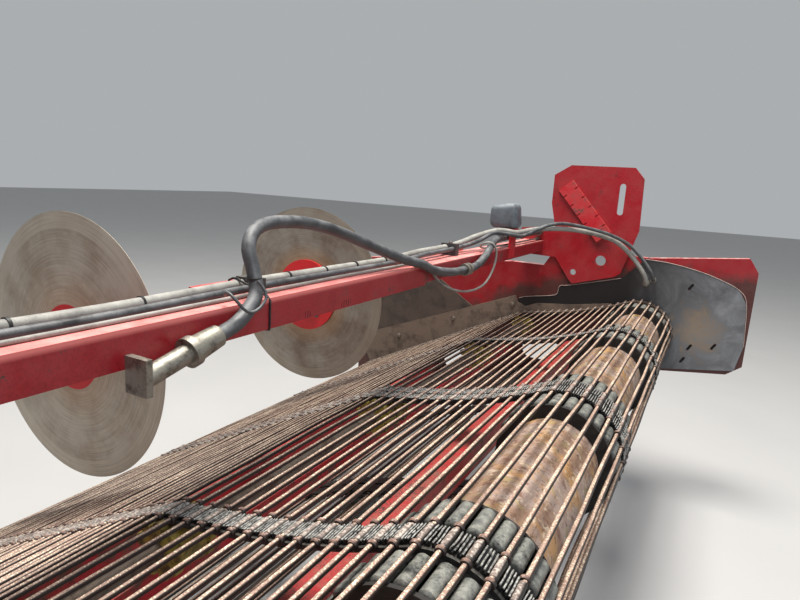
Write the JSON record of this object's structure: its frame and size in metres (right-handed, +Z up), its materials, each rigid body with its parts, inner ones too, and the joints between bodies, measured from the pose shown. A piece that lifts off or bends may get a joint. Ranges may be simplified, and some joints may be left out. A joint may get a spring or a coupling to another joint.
{
  "type": "potato harvester sieving web unit",
  "caption": "Endless rod webs side by side on one drive shaft in a frame with liners and a hose beam, with swinging disc coulters above them.",
  "frame": {"origin": "on the axis of the pivot eyes, midway between the two side plates", "axes": "+X rearwards, the way the crop travels, +Y along the pivot axis to the right-hand side plate, +Z up"},
  "size_m": [2.0669, 3.296, 1.4695],
  "materials": {
    "frame_red": "satin, worn and dusty",
    "liner_brown": "matt, soiled",
    "liner_black": "matt",
    "shaft_steel": "dull",
    "drum_steel": "worn, light rust",
    "wheel_grey": "matt, dusty",
    "wheel_yellow": "dusty",
    "rod_steel": "worn, speckled with soil",
    "belt_rubber": "matt with worn ribs",
    "disc_steel": "dull, light rust",
    "housing_dark": "matt",
    "hose_grey": "matt, dusty",
    "hose_black": "matt, dusty",
    "fitting_steel": "zinc-plated, dull",
    "box_grey": "moulded, dusty"
  },
  "bodies": {
    "frame": {"left_side_plate": "frame_red", "right_side_plate": "frame_red", "left_wall_liner": "liner_brown", "right_wall_liner": "liner_brown", "side_flanges": "frame_red", "edge_strips": "liner_brown", "rubber_sheets": "liner_black", "pivot_brackets": "frame_red", "notched_racks": "frame_red", "beam_tube": "frame_red", "beam_extension": "frame_red", "nose_tensioners": "shaft_steel", "beam_hoses": "hose_grey", "arch_hose": "hose_black", "sensor_cable": "hose_grey", "hose_fittings": "fitting_steel", "hose_saddles": "housing_dark", "junction_box": "box_grey", "rear_cross_tube": "frame_red", "middle_cross_tube": "frame_red", "nose_cross_tube": "frame_red", "bearing_housings": "housing_dark", "drive_shaft": "shaft_steel", "drive_drums": "drum_steel", "drive_wheels": "wheel_grey", "support_shaft": "shaft_steel", "support_wheels": "wheel_yellow", "return_shaft": "shaft_steel", "return_wheels": "wheel_grey", "nose_shaft": "shaft_steel", "nose_wheels": "wheel_grey", "left_web_rods": "rod_steel", "right_web_rods": "rod_steel", "left_web_belts": "belt_rubber", "right_web_belts": "belt_rubber", "arm_brackets": "frame_red"},
    "left_arm": {"left_disc_arm": "frame_red", "left_disc_axle": "shaft_steel"},
    "right_arm": {"right_disc_arm": "frame_red", "right_disc_axle": "shaft_steel"},
    "left_disc": {"left_disc": "disc_steel", "left_disc_hub": "frame_red"},
    "right_disc": {"right_disc": "disc_steel", "right_disc_hub": "frame_red"}
  },
  "joints": [
    {"name": "left_arm_swing", "type": "hinge", "parent": "frame", "child": "left_arm", "pos_m": [-0.459, -0.621, 0.015], "axis": [0, 1, 0], "range_deg": [-3, 25]},
    {"name": "right_arm_swing", "type": "hinge", "parent": "frame", "child": "right_arm", "pos_m": [-0.459, 0.621, 0.015], "axis": [0, 1, 0], "range_deg": [-3, 25]},
    {"name": "left_disc_spin", "type": "hinge", "parent": "left_arm", "child": "left_disc", "pos_m": [-1.027, -0.529, -0.178], "axis": [0, 1, 0], "continuous": true},
    {"name": "right_disc_spin", "type": "hinge", "parent": "right_arm", "child": "right_disc", "pos_m": [-1.027, 0.529, -0.178], "axis": [0, 1, 0], "continuous": true}
  ]
}
